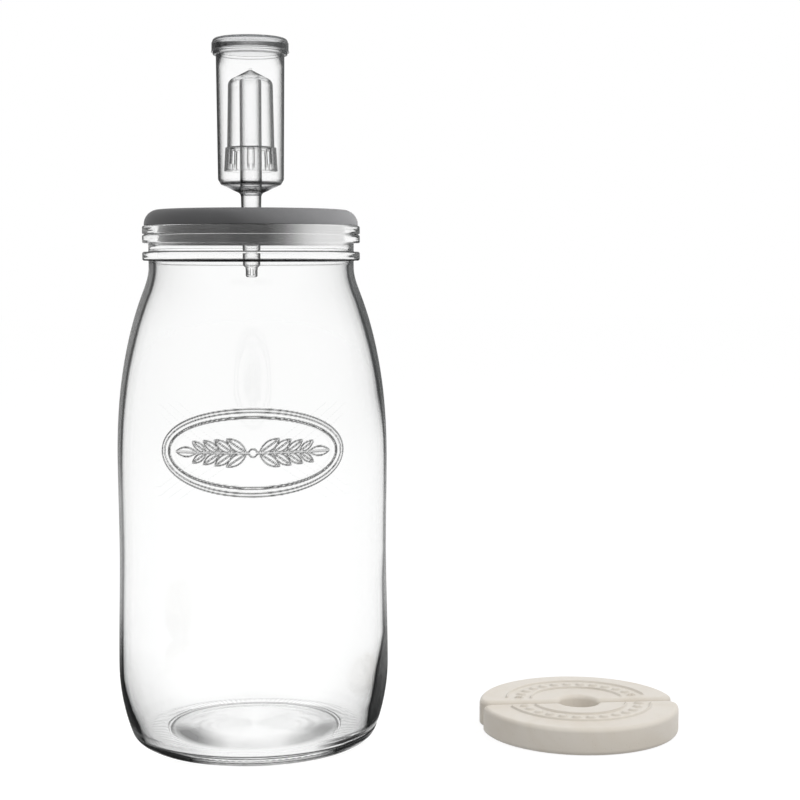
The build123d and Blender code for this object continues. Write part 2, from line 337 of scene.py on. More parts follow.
def mark_edges(piece, darkness):
    """Stores on each point how dark the material makes it: darkness(x, y, z) in millimetres, 0 to 1."""
    points = np.empty(len(piece.data.vertices) * 3)
    piece.data.vertices.foreach_get("co", points)
    layer = piece.data.attributes.new("edge_line", "FLOAT", "POINT")
    layer.data.foreach_set("value", darkness(*points.reshape(-1, 3).T / MM).astype(np.float32))


def steepness(ornament, along, across, step):
    """Slope of an ornament's height at each point, by its differences over a step to either side."""
    return np.hypot(ornament(along + step, across) - ornament(along - step, across),
                    ornament(along, across + step) - ornament(along, across - step)) / (2 * step)


def ornament_edges(x, y, z, relief):
    """How steep the jar's ornament is at each point: its slope over the steepest that is told apart."""
    radius, steepest = np.hypot(x, y), 0.75
    along, across = radius * np.arctan2(x, -y), z - ORNAMENT_HEIGHT
    slope = steepness(jar_ornament, np.atleast_2d(along), np.atleast_2d(across), 0.15)[0]
    front = (radius > 66.5) & (np.abs(across) < ORNAMENT_RISE) & (np.abs(along) < ORNAMENT_REACH)
    return np.where(front, np.clip(slope * relief / MM / steepest, 0, 1), 0.0)


def weight_edges(x, y, z, weights, side):
    """How steep a weight's ornament is on its upper face: its slope over the steepest told apart."""
    right, out = x - weights.distance / MM, side * y - weights.gap / MM / 2
    middle, steepest = WEIGHT_MIDDLE / MM, 0.9
    slope = steepness(weight_ornament, middle * np.arctan2(right, out), np.hypot(right, out) - middle, 0.25)
    return np.where(z > weights.thickness / MM - 0.5, np.clip(slope / steepest, 0, 1), 0.0)


def slot_edges(x, y, z, slots, half_width, low, high, start, least_radius):
    """1 on the upright edges of a ring of slots and 0 elsewhere, from the angle to the nearest slot."""
    pitch = 2 * math.pi / slots
    turn = np.abs((np.arctan2(y, x) - start + pitch / 2) % pitch - pitch / 2)
    near = (np.abs(turn - half_width) < 0.004) & (z > low - 0.05) & (z < high + 0.05)
    return (near & (np.hypot(x, y) > least_radius)).astype(float)


# Materials


def new_material(name):
    """Node material that holds an output and a Principled shader, with its node tree and the shader."""
    material = bpy.data.materials.new(name)
    material.use_nodes = True
    tree = material.node_tree
    tree.nodes.clear()
    shader = tree.nodes.new("ShaderNodeBsdfPrincipled")
    node(tree, "ShaderNodeOutputMaterial", {"Surface": shader.outputs["BSDF"]})
    return material, tree, shader


def fill(tree, target, values):
    """Gives each named input of a node its value, or a link where that is an output."""
    for key, value in values.items():
        if isinstance(value, bpy.types.NodeSocket):
            tree.links.new(value, target.inputs[key])
        else:
            target.inputs[key].default_value = value


def node(tree, kind, values=None, **settings):
    """New node with its settings and the values of its inputs."""
    new = tree.nodes.new(kind)
    for key, value in settings.items():
        setattr(new, key, value)
    fill(tree, new, values or {})
    return new


def scaled(tree, value, from_low, from_high, to_low=0.0, to_high=1.0):
    """Output that carries a value from one range to another and holds it there."""
    return node(tree, "ShaderNodeMapRange", {"Value": value, "From Min": from_low, "From Max": from_high,
                                             "To Min": to_low, "To Max": to_high}).outputs["Result"]


def maths(tree, operation, first, second=0.0, third=0.0, use_clamp=False):
    """Output of one sum on values or outputs, held between 0 and 1 with use_clamp."""
    sum_node = node(tree, "ShaderNodeMath", {0: first, 1: second, 2: third}, operation=operation)
    sum_node.use_clamp = use_clamp
    return sum_node.outputs[0]


def product(tree, first, *others):
    """Output of values multiplied together."""
    for other in others:
        first = maths(tree, "MULTIPLY", first, other)
    return first


def blend(tree, share, first, second):
    """Output that goes from a first value to a second one by a share."""
    return maths(tree, "MULTIPLY_ADD", share, maths(tree, "SUBTRACT", second, first), first)


def darker(tree, shade, *shares):
    """Output of a shade, or of the product of some shares where that is higher."""
    return maths(tree, "MAXIMUM", shade, product(tree, *shares))


def mask(tree, at, spans):
    """Product over spans (measure, none, full) of how far a measure is from none to full."""
    return product(tree, *(scaled(tree, at[measure], none, full) for measure, none, full in spans))


def ramp_node(tree, value, steps):
    """Output of a grey ramp through (position, level) steps."""
    grey = node(tree, "ShaderNodeValToRGB", {"Fac": value})
    stops = grey.color_ramp.elements
    while len(stops) < len(steps):
        stops.new(0.5)
    for stop, (position, level) in zip(stops, steps):
        stop.position = position
        stop.color = (level, level, level, 1.0)
    return grey.outputs["Color"]


def noise(tree, place, stretch, scale, detail, shift=(0.0, 0.0, 0.0)):
    """Output of a noise over a piece's own place, which is stretched and shifted first."""
    mapped = node(tree, "ShaderNodeMapping", {"Vector": place, "Scale": stretch, "Location": shift})
    return node(tree, "ShaderNodeTexNoise", {"Vector": mapped.outputs["Vector"], "Scale": scale,
                                             "Detail": detail}).outputs["Fac"]


def blend_colours(tree, share, first, second):
    """Output that mixes two colours by a share."""
    mix = node(tree, "ShaderNodeMix", data_type="RGBA")
    tree.links.new(share, mix.inputs["Factor"])
    for key, value in (("A", first), ("B", second)):
        socket = next(s for s in mix.inputs if s.name == key and s.type == "RGBA")
        if isinstance(value, bpy.types.NodeSocket):
            tree.links.new(value, socket)
        else:
            socket.default_value = (*value, 1.0)
    return next(s for s in mix.outputs if s.type == "RGBA")


def mix_shaders(tree, share, first, second):
    """Output of two shaders mixed by a share."""
    return node(tree, "ShaderNodeMixShader", {0: share, 1: first, 2: second}).outputs["Shader"]


def smudge_group():
    """Shared effect: faint handling marks and specks over a surface, from two noises and a cell pattern."""
    name = "Handling Marks"
    if name in bpy.data.node_groups:
        return bpy.data.node_groups[name]
    group = bpy.data.node_groups.new(name, "ShaderNodeTree")
    face = group.interface
    face.new_socket("Vector", in_out="INPUT", socket_type="NodeSocketVector")
    for label, default in (("Scale", 60.0), ("Speck Scale", 900.0)):
        face.new_socket(label, in_out="INPUT", socket_type="NodeSocketFloat").default_value = default
    for label in ("Smudge", "Speck", "Grain"):
        face.new_socket(label, in_out="OUTPUT", socket_type="NodeSocketFloat")
    start = node(group, "NodeGroupInput").outputs
    fine = {"Vector": start["Vector"], "Scale": start["Speck Scale"]}
    smudge = node(group, "ShaderNodeTexNoise", {"Vector": start["Vector"], "Scale": start["Scale"],
                                                "Detail": 4.0, "Roughness": 0.6, "Distortion": 0.8})
    speck = node(group, "ShaderNodeTexVoronoi", fine)
    grain = node(group, "ShaderNodeTexNoise", {**fine, "Detail": 2.0, "Roughness": 0.7})
    node(group, "NodeGroupOutput", {"Smudge": scaled(group, smudge.outputs["Fac"], 0.42, 0.72),
                                    "Speck": scaled(group, speck.outputs["Distance"], 0.16, 0.05),
                                    "Grain": grain.outputs["Fac"]})
    return group


def marks(tree, scale, speck_scale):
    """The piece's own place and the outputs of the shared handling marks on it."""
    place = node(tree, "ShaderNodeTexCoord").outputs["Object"]
    group = node(tree, "ShaderNodeGroup", node_tree=smudge_group())
    fill(tree, group, {"Vector": place, "Scale": scale, "Speck Scale": speck_scale})
    return place, group.outputs


def drawn_edges(tree):
    """Output of what mark_edges stored on a piece, 0 where it stored nothing."""
    return node(tree, "ShaderNodeAttribute", attribute_name="edge_line").outputs["Fac"]


def level_turn(tree):
    """How far a surface turns away as seen on the level, so that it stays clear from above.

    The cosine to the view is divided by the cosine of the view's slope. The slope's sine is the cosine
    between the view and upwards. A Layer Weight at 0.5 gives 1 less each cosine as its facing.
    """
    facing = node(tree, "ShaderNodeLayerWeight", {"Blend": 0.5}).outputs["Facing"]
    upwards = node(tree, "ShaderNodeCombineXYZ", {"Z": 1.0}).outputs["Vector"]
    low_view = node(tree, "ShaderNodeLayerWeight", {"Blend": 0.5, "Normal": upwards}).outputs["Facing"]
    cosine, slope = (maths(tree, "SUBTRACT", 1.0, seen) for seen in (facing, low_view))
    across = maths(tree, "SUBTRACT", 1.0, product(tree, slope, slope))
    across = maths(tree, "SQRT", maths(tree, "MAXIMUM", across, LEAST_ACROSS))
    return maths(tree, "SUBTRACT", 1.0, maths(tree, "DIVIDE", cosine, across, use_clamp=True))


def measures(tree, place, looks):
    """Outputs, by name, that a clear material reads.

    X, Y and Z are the piece's own place and off_axis is the distance from the upright axis. height is how
    far a point is from low to high, level is 1 where the surface lies flat, outwards is above 0 where it
    looks away from the axis, turn is how far it turns away and behind is 1 on its back.
    """
    axes = node(tree, "ShaderNodeSeparateXYZ", {0: place}).outputs
    x, y = axes["X"], axes["Y"]
    geometry = node(tree, "ShaderNodeNewGeometry").outputs
    away = node(tree, "ShaderNodeSeparateXYZ", {0: geometry["Normal"]}).outputs
    return {
        "X": x, "Y": y, "Z": axes["Z"], "place": place,
        "off_axis": maths(tree, "SQRT", maths(tree, "MULTIPLY_ADD", x, x, product(tree, y, y))),
        "height": scaled(tree, axes["Z"], looks["low"], looks["high"]),
        "level": maths(tree, "ABSOLUTE", away["Z"]),
        "outwards": maths(tree, "MULTIPLY_ADD", away["X"], x, product(tree, away["Y"], y)),
        "turn": level_turn(tree),
        "behind": geometry["Backfacing"],
    }


def uneven_turn(tree, at, looks):
    """How far a clear wall turns away, shifted to move the painted dark band at its edge.

    The shifts are streaks that run up the piece, level layers in the jar's neck, a ramp on the piece's
    height, another one at its right side, and an even one on a narrow tube. The streaks and layers stand for
    uneven glass; the ramps and the tube's shift only place painted shade.
    """
    streak = noise(tree, at["place"], (1.0, 1.0, 0.05), looks["streaks"], 3.0)
    turn = maths(tree, "MULTIPLY_ADD", streak, looks["streak"],
                 maths(tree, "ADD", at["turn"], -looks["streak"] / 2))
    if "neck" in looks:
        layers = noise(tree, at["place"], (0.25, 0.25, 4.0), 190.0, 3.0)
        on_neck = scaled(tree, at["Z"], looks["neck"], looks["neck"] + 0.004)
        turn = maths(tree, "MULTIPLY_ADD", scaled(tree, layers, 0.35, 0.65, -0.26, 0.06), on_neck, turn)
    # A ramp on the height that widens or narrows the painted dark band.
    thickness = ramp_node(tree, at["height"], looks["by_height"])
    turn = maths(tree, "ADD", turn, scaled(tree, thickness, 0.0, 1.0, -HEIGHT_REACH, HEIGHT_REACH))
    # Painted shade on the right side only, where the light falls differently from the left.
    if "painted_right_shade" in looks:
        thickness = ramp_node(tree, at["height"], looks["painted_right_shade"])
        turn = maths(tree, "MULTIPLY_ADD", mask(tree, at, RIGHT_SIDE_SHADE),
                     scaled(tree, thickness, 0.0, 1.0, -HEIGHT_REACH, HEIGHT_REACH), turn)
    if "tube" in looks:
        turn = maths(tree, "MULTIPLY_ADD", mask(tree, at, TUBE), looks["tube"], turn)
    return turn


def painted_wall_shade(tree, at, looks):
    """Painted dark share of a clear wall: a ramp on its turn with a soft painted shade beside it, and painted
    dark lines at heights. They stand in for the shade that the glass refracts at its edges and beads.

    Level faces keep only a part of the ramp.
    """
    shade = ramp_node(tree, uneven_turn(tree, at, looks), looks["edge"])
    if "soft_shade" in looks:
        shade = product(tree, shade, ramp_node(tree, at["height"], looks["depth"]))
        soft = product(tree, scaled(tree, at["turn"], 0.10, 0.60),
                       ramp_node(tree, at["height"], looks["soft_shade"]))
        shade = blend(tree, soft, shade, 1.0)
    shade = product(tree, shade, scaled(tree, at["level"], 0.45, 0.9, 1.0, looks["level_share"]))
    for height, half_width, darkness in looks["lines"]:
        gap = maths(tree, "ABSOLUTE", maths(tree, "SUBTRACT", at["Z"], height))
        shade = darker(tree, shade, scaled(tree, gap, half_width * 0.5, half_width * 1.2, darkness, 0.0))
    return shade


def painted_foot_shade(tree, at, shade, looks):
    """Painted shade of the jar's thick foot, standing in for what the thick glass refracts, and the cloudy
    pattern that breaks it up.

    The painted band grows wider above the heel and at the right of the shoulder. Level streaks take its place
    at the sides of the foot, and painted dark patches lie over them.
    """
    right = product(tree, mask(tree, at, RIGHT_SHOULDER), 0.9)
    spread = maths(tree, "ADD", mask(tree, at, ABOVE_HEEL), right)
    wider = maths(tree, "MULTIPLY_ADD", maths(tree, "SUBTRACT", 1.0, shade), spread, 1.0)
    shade = maths(tree, "MULTIPLY", shade, wider, use_clamp=True)
    across = scaled(tree, at["X"], -0.06, 0.06)
    streaks = noise(tree, at["place"], (0.45, 0.45, 14.0), 60.0, 3.0)
    streaked = product(tree, mask(tree, at, STREAKED), ramp_node(tree, across, looks["foot_streaks"]))
    shade = blend(tree, streaked, shade, scaled(tree, streaks, 0.46, 0.52, 0.02, 0.98))
    cloud = noise(tree, at["place"], (0.7, 0.7, 6.0), 30.0, 4.0, (0.3, 0.0, 0.0))
    shade = darker(tree, shade, scaled(tree, cloud, 0.36, 0.50), mask(tree, at, PATCHED),
                   ramp_node(tree, across, looks["patches"]))
    return shade, cloud


def painted_pushup_shade(tree, at, shade, cloud):
    """Shade with a grey crescent of painted shade along the front of the push-up, darkest at its two ends."""
    ends = scaled(tree, maths(tree, "ABSOLUTE", at["X"]), 0.012, 0.029, 0.22, 0.95)
    return darker(tree, shade, mask(tree, at, CRESCENT), scaled(tree, cloud, 0.35, 0.55, 0.6, 1.0), ends)


def painted_neck_glare(tree, at, surface, looks):
    """Surface with a painted reflection: a pale glare that glows outside on the right front of the jar's
    neck.
    """
    spans = (("Z", looks["high"] - 0.0112, looks["high"] - 0.0100), *RIGHT_FRONT)
    glare = product(tree, ramp_node(tree, scaled(tree, at["X"], 0.0, 0.05), looks["glare"]),
                    mask(tree, at, spans), maths(tree, "SUBTRACT", 1.0, at["behind"]))
    # A glowing sheet, no lamp, that paints a softbox's reflection onto the neck.
    pale = node(tree, "ShaderNodeBsdfPrincipled", {
        "Base Color": BLACK, "Roughness": 1.0, "Specular IOR Level": 0.0, "Emission Color": WHITE,
        "Emission Strength": 0.95})
    return mix_shaders(tree, glare, surface, pale.outputs["BSDF"])


def clear_material(name, looks):
    """Glass or clear plastic before a bright backdrop: clear face-on, with painted shade where it turns away.

    A dark shader is mixed into the clear one by the wall's painted shade, which stands in for the shade that
    real glass refracts at its edges, and which is weaker on inner and far walls.
    Shadow rays pass through.
    """
    material, tree, shader = new_material(name)
    place, handled = marks(tree, 38.0, 700.0)
    at = measures(tree, place, looks)
    shade = painted_wall_shade(tree, at, looks)
    if "patches" in looks:
        shade, cloud = painted_foot_shade(tree, at, shade, looks)
    inner = scaled(tree, at["outwards"], -0.0004, 0.0004, looks["inner_share"], 1.0)
    far = product(tree, scaled(tree, at["Z"], looks["low"] + 0.0045, looks["low"] + 0.0095,
                               looks["far_low"], 1.0), looks["far_share"])
    shade = product(tree, shade, inner, blend(tree, at["behind"], 1.0, far))
    if "patches" in looks:
        shade = painted_pushup_shade(tree, at, shade, cloud)
    # Painted dark lines on the steep edges of the relief and the slots, standing in for the shade they
    # refract.
    shade = darker(tree, shade, drawn_edges(tree), looks["edge_line"])
    ripple = noise(tree, place, (1.0, 1.0, 0.28), 55.0, 2.0)
    if "knurl" in looks:
        ridges = maths(tree, "SINE", product(tree, maths(tree, "ARCTAN2", at["Y"], at["X"]), looks["knurl"]))
        ripple = maths(tree, "MULTIPLY_ADD", ridges, scaled(tree, at["Z"], 0.002, 0.005, 0.7, 0.0), ripple)
    bump = node(tree, "ShaderNodeBump", {"Height": ripple, "Strength": looks["ripple"], "Distance": 0.002})
    fill(tree, shader, {
        "Base Color": (*looks["tone"], 1.0), "Metallic": 0.0, "Transmission Weight": 1.0,
        "IOR": looks["index"], "Normal": bump.outputs["Normal"],
        "Roughness": scaled(tree, handled["Smudge"], 0.0, 1.0, *looks["rough"])})
    # A near-black sheet that paints the shade into the clear surface.
    dark = node(tree, "ShaderNodeBsdfPrincipled", {"Base Color": (0.02, 0.021, 0.021, 1.0), "Roughness": 0.35,
                                                   "Specular IOR Level": 0.0})
    surface = mix_shaders(tree, shade, shader.outputs["BSDF"], dark.outputs["BSDF"])
    if "glare" in looks:
        surface = painted_neck_glare(tree, at, surface, looks)
    shadow = node(tree, "ShaderNodeLightPath").outputs["Is Shadow Ray"]
    through = node(tree, "ShaderNodeBsdfTransparent", {"Color": (0.93, 0.93, 0.93, 1.0)})
    inside = node(tree, "ShaderNodeVolumeAbsorption", {"Color": (*looks["tint"], 1.0),
                                                       "Density": looks["density"]})
    output = next(one for one in tree.nodes if one.bl_idname == "ShaderNodeOutputMaterial")
    fill(tree, output, {"Surface": mix_shaders(tree, shadow, surface, through.outputs["BSDF"]),
                        "Volume": inside.outputs["Volume"]})
    return material


def rubber_material(tone):
    """Soft grey rubber: a cloudy tone, lint specks and a fine satin grain.

    Under the jar's rim a ramp across the plug paints shade and a dark reflection on it, darkest in the middle
    of the front, as the plug shows through the glass before it.
    """
    material, tree, shader = new_material("Grey Rubber")
    place, handled = marks(tree, 45.0, 1100.0)
    cloudy = blend_colours(tree, handled["Smudge"], tone, tuple(c * 1.14 for c in tone))
    axes = node(tree, "ShaderNodeSeparateXYZ", {0: place}).outputs
    in_mouth = scaled(tree, axes["Z"], JAR_HIGH.z - 0.0005, JAR_HIGH.z - 0.0015)
    # Painted shade and dark reflection across the plug, only under the rim.
    plug = ramp_node(tree, scaled(tree, axes["X"], -0.046, 0.046), PLUG_SHADE_AND_REFLECTION)
    shaded = blend_colours(tree, in_mouth, cloudy, plug)
    speck = scaled(tree, handled["Speck"], 0.0, 1.0, 0.0, 0.25)
    bump = node(tree, "ShaderNodeBump", {"Height": handled["Grain"], "Strength": 0.25, "Distance": 0.0002})
    fill(tree, shader, {
        "Base Color": blend_colours(tree, speck, shaded, (0.3, 0.3, 0.3)), "IOR": 1.5,
        "Specular IOR Level": 0.2, "Normal": bump.outputs["Normal"],
        "Roughness": scaled(tree, handled["Smudge"], 0.0, 1.0, 0.46, 0.60)})
    return material


def ceramic_material(glaze):
    """Cream glaze: slow clouds of tone, small iron specks, pinholes and a soft unevenness.

    It is darker where it pools along the ornament.
    """
    material, tree, shader = new_material("Cream Ceramic")
    place, handled = marks(tree, 28.0, 420.0)
    warm = tuple(c * k for c, k in zip(glaze, (0.95, 0.93, 0.90)))
    cloudy = blend_colours(tree, handled["Smudge"], glaze, warm)
    pooling = product(tree, drawn_edges(tree), 0.55)
    pooled = blend_colours(tree, pooling, cloudy, tuple(c * 0.72 for c in warm))
    speck = scaled(tree, handled["Speck"], 0.0, 1.0, 0.0, 0.12)
    wave = node(tree, "ShaderNodeTexNoise", {"Vector": place, "Scale": 160.0, "Detail": 3.0})
    slow = node(tree, "ShaderNodeBump", {"Height": wave.outputs["Fac"], "Strength": 0.18, "Distance": 0.0006})
    pores = node(tree, "ShaderNodeBump", {"Height": handled["Speck"], "Strength": 0.3, "Distance": 0.0002,
                                          "Normal": slow.outputs["Normal"]}, invert=True)
    fill(tree, shader, {
        "Base Color": blend_colours(tree, speck, pooled, (0.42, 0.34, 0.26)), "Coat Weight": 0.15,
        "Coat Roughness": 0.3, "Roughness": scaled(tree, handled["Smudge"], 0.0, 1.0, 0.38, 0.55),
        "Normal": pores.outputs["Normal"]})
    return material


BLACK, WHITE = (0.0, 0.0, 0.0, 1.0), (1.0, 1.0, 1.0, 1.0)
LEAST_ACROSS = 0.01
HEIGHT_REACH = 0.6

# Where painted shade or a painted glare on a clear wall is absent and where it is full, measure by measure,
# in metres.
TUBE = (("off_axis", 0.0085, 0.0062),)
RIGHT_SIDE_SHADE = (("X", 0.045, 0.066),)
ABOVE_HEEL = (("Z", 0.004, 0.014), ("Z", 0.078, 0.034))
RIGHT_SHOULDER = (("X", 0.040, 0.055), ("Z", 0.155, 0.180))
STREAKED = (("Z", 0.0130, 0.0090),)
PATCHED = (("off_axis", 0.050, 0.053), ("Z", 0.0075, 0.0055))
CRESCENT = (("off_axis", 0.022, 0.036), ("off_axis", 0.045, 0.041), ("Y", 0.004, -0.012), ("Z", 0.004, 0.003))
RIGHT_FRONT = (("Y", 0.0, -0.01), ("outwards", 0.0, 0.0004))

# Ramps are steps of (position, level). Lines are (height, half width, darkness).
# Painted shade and reflection across the lid's plug under the rim, darkest in the middle.
PLUG_SHADE_AND_REFLECTION = ((0.0, 0.075), (0.36, 0.065), (0.42, 0.020), (0.56, 0.016), (0.66, 0.035), (0.80, 0.080),
              (1.0, 0.095))
# The clear looks paint shade: their ramps, shifts, soft shade, streaks, patches and dark lines shape the dark
# bands that the walls would take from what they refract, and the jar's glare is a painted reflection.
JAR_LOOKS = {
    "tone": (0.985, 0.987, 0.986), "index": 1.5, "rough": (0.0, 0.02), "ripple": 0.05, "density": 6.0,
    "streaks": 90.0, "streak": 0.10, "low": 0.0, "high": 0.263, "edge_line": 0.85, "level_share": 0.0,
    "inner_share": 0.0, "far_share": 0.8, "far_low": 0.15, "neck": 0.243, "knurl": 120.0,
    "edge": ((0.0, 0.0), (0.40, 0.0), (0.52, 0.03), (0.62, 0.12), (0.67, 0.32), (0.69, 0.60), (0.71, 0.92),
             (0.745, 0.92), (0.78, 0.76), (0.88, 0.74), (1.0, 0.65)),
    "by_height": ((0.0, 0.53), (0.06, 0.53), (0.10, 0.485), (0.14, 0.455), (0.24, 0.460), (0.55, 0.465),
                  (0.72, 0.505), (0.84, 0.545), (1.0, 0.56)),
    "painted_right_shade": ((0.0, 0.5), (0.045, 0.5), (0.085, 0.70), (0.145, 0.70), (0.22, 0.5), (0.32, 0.5),
                   (0.38, 0.455), (0.60, 0.455), (0.68, 0.5)),
    "depth": ((0.0, 1.0), (0.17, 1.0), (0.26, 0.82), (0.48, 0.78), (0.58, 1.0)),
    "soft_shade": ((0.0, 0.18), (0.09, 0.17), (0.14, 0.13), (0.22, 0.05), (0.62, 0.03), (0.80, 0.05),
                   (0.87, 0.13), (0.925, 0.18), (0.935, 0.0)),
    "foot_streaks": ((0.0, 0.15), (0.20, 0.12), (0.32, 0.0), (0.74, 0.0), (0.84, 0.92), (1.0, 0.92)),
    "patches": ((0.0, 0.97), (0.24, 0.95), (0.34, 0.10), (0.76, 0.06), (0.83, 0.97), (0.96, 0.97),
                (1.0, 0.6)),
    "glare": ((0.0, 0.0), (0.14, 0.0), (0.30, 0.11), (0.42, 0.30), (0.52, 0.50), (0.64, 0.63), (0.76, 0.67),
              (0.90, 0.62), (0.98, 0.0)),
    "lines": ((0.2457, 0.0006, 0.97), (0.2499, 0.00035, 0.8), (0.0030, 0.0003, 0.85), (0.0066, 0.0003, 0.8)),
}
CHAMBER_LOOKS = {
    "tone": (0.995, 0.995, 0.995), "index": 1.5, "rough": (0.0, 0.03), "ripple": 0.03, "density": 40.0,
    "streaks": 160.0, "streak": 0.05, "low": BODY_HIGH.z - 0.017, "high": BODY_HIGH.z, "edge_line": 0.8,
    "level_share": 0.3, "inner_share": 0.25, "far_share": 0.6, "far_low": 1.0, "tube": 0.235,
    "edge": ((0.0, 0.0), (0.22, 0.0), (0.36, 0.04), (0.45, 0.13), (0.50, 0.25), (0.55, 0.50), (0.62, 0.88),
             (0.70, 0.96), (1.0, 0.92)),
    "by_height": ((0.0, 0.5), (0.25, 0.5), (0.6, 0.66), (1.0, 0.56)),
    "lines": ((BODY_HIGH.z - 0.0062, 0.0004, 0.5), (0.2844, 0.0007, 0.65), (0.2804, 0.0009, 0.8)),
}
FLOAT_LOOKS = dict(
    CHAMBER_LOOKS, low=FLOAT_LOW.z, high=FLOAT_HIGH.z, level_share=1.0,
    by_height=((0.0, 0.72), (0.02, 0.59), (0.86, 0.59), (0.90, 0.25), (1.0, 0.25)),
    lines=((FLOAT_LOW.z + 0.0117, 0.0005, 0.85),))
CAP_LOOKS = dict(
    CHAMBER_LOOKS, tone=(0.93, 0.932, 0.935), index=1.45, rough=(0.14, 0.26), ripple=0.05, density=90.0,
    low=CAP_LOW.z, high=CAP_HIGH.z, inner_share=0.1, tube=0.0,
    edge=((0.0, 0.0), (0.36, 0.04), (0.45, 0.12), (0.50, 0.36), (0.55, 0.60), (0.62, 0.74), (0.75, 0.82),
          (1.0, 0.84)),
    by_height=((0.0, 0.62), (0.08, 0.5), (0.14, 0.5), (0.22, 0.95), (0.48, 0.92), (0.56, 0.5), (0.9, 0.52),
               (1.0, 0.68)),
    lines=((CAP_LOW.z + 0.0009, 0.0003, 0.45),))


def plastic(name, looks):
    """One of the airlock's plastics, with the tint from its settings."""
    return clear_material(name, dict(looks, tint=bpy.context.scene.ferment_airlock.tint))


# Pieces


def jar_paths(jar):
    """Outer and inner paths of the glass, each from the axis to the middle of the rim's flat top.

    The push-up is flat and then comes down to the ring on an arc, whose radius is the sum of the squares
    of its reach and its depth over twice its depth. The rows are closest behind the ornament.
    """
    radius, wall = jar.radius / MM, jar.wall / MM
    waist, shoulder = jar.waist_radius / MM, jar.shoulder_radius / MM
    neck, bead, mouth = jar.neck_radius / MM, jar.bead_radius / MM, jar.mouth_radius / MM
    top = jar.height / MM
    neck_height = top - NECK_DROP
    floor, rim_middle, count = 5.5, mouth + 3.4, 400
    heel_foot, heel_corner, bowl_foot, bowl_corner = 60.5, 9.2, 57.5, 8.0
    shoulder_shares = ((0.0, 0.0), (0.10, 0.34), (0.36, 0.61), (0.78, 0.855), (1.0, 1.0))

    def side(inset, end_radius):
        """Smooth curve up the side, and one over the shoulder through shares of its way in and up."""
        start = shoulder - inset
        low = smooth_curve(((radius - inset, HEEL_TOP), (waist - inset, WAIST_HEIGHT),
                            (start, SHOULDER_HEIGHT)), count)
        points = [(start + (end_radius - start) * narrow,
                   SHOULDER_HEIGHT + (neck_height - SHOULDER_HEIGHT) * rise)
                  for narrow, rise in shoulder_shares]
        return np.concatenate((low, smooth_curve(points, count)))

    def heel(high_radius, low_radius, low, corner):
        """Arc that leaves the side straight down at the heel's top and a round corner that ends it level.

        The arc's radius is the sum of the squares of its reach and its drop over twice its reach. The
        corner's circle touches the arc from inside.
        """
        drop = HEEL_TOP - low
        size = ((high_radius - low_radius) ** 2 + drop ** 2) / (2 * (high_radius - low_radius))
        centre = high_radius - size
        corner_x = centre + math.sqrt((size - corner) ** 2 - (drop - corner) ** 2)
        turn = math.atan2(corner - drop, corner_x - centre)
        corner_turn, heel_turn = np.linspace(-math.pi / 2, turn, 12), np.linspace(turn, 0, 12)[1:-1]
        across = np.concatenate((corner_x + corner * np.cos(corner_turn), centre + size * np.cos(heel_turn)))
        up = np.concatenate((low + corner * (1 + np.sin(corner_turn)), HEEL_TOP + size * np.sin(heel_turn)))
        return np.stack((across, up), axis=-1) * MM

    def at_heights(curve, heights):
        """Points of a curve at some heights, on straight lines between its own points."""
        return np.stack((np.interp(heights, curve[:, 1], curve[:, 0]), heights), axis=-1)

    pushup_depth, pushup_radius, flat_radius = 2.4, 46.0, 40.0
    reach = pushup_radius - flat_radius
    dome = (reach ** 2 + pushup_depth ** 2) / (2 * pushup_depth)
    across = np.concatenate((np.linspace(0, flat_radius, 5)[:-1], np.linspace(flat_radius, pushup_radius, 9)))
    past = np.clip(across - flat_radius, 0, None)
    pushup = np.stack((across, np.sqrt(dome ** 2 - past ** 2) - dome + pushup_depth), axis=-1) * MM
    low, high = ORNAMENT_HEIGHT - ORNAMENT_RISE, ORNAMENT_HEIGHT + ORNAMENT_RISE
    below, behind = np.arange(HEEL_TOP, low, 4.0), np.arange(low, high + 0.3, 0.48)
    heights = np.concatenate((below, behind, np.arange(high + 2.0, neck_height, 1.8), (neck_height,))) * MM
    flank = at_heights(side(0.0, neck), heights)
    third_foot, third_top, beads_foot, groove = (top - drop for drop in (17.6, 13.1, 9.0, 4.5))
    rim = rounded_path((
        (neck, neck_height), (neck, third_foot, 0.5), (bead, third_foot, 1.0), (bead, third_top, 1.0),
        (neck, third_top, 0.5), (neck, beads_foot, 0.5), (bead, beads_foot, 1.0), (bead, groove, 1.0),
        (bead - 1.0, groove), (bead, groove, 1.0), (bead, top, 1.0), (rim_middle, top)))
    outer = np.concatenate((pushup, heel(radius, heel_foot, 0.0, heel_corner), flank, rim[1:]))
    flat = np.array(((0.0, floor), (25.0, floor))) * MM
    bowl = np.concatenate((flat, heel(radius - wall, bowl_foot, floor, bowl_corner)))
    inner_heights = np.concatenate((np.arange(HEEL_TOP, SHOULDER_HEIGHT, 6.0),
                                    np.arange(SHOULDER_HEIGHT, neck_height, 2.4), (neck_height,))) * MM
    inner_side = at_heights(side(wall, mouth), inner_heights)
    throat = rounded_path(((mouth, neck_height), (mouth, top, 1.2), (rim_middle, top)))
    return outer, np.concatenate((bowl, inner_side, throat[1:]))


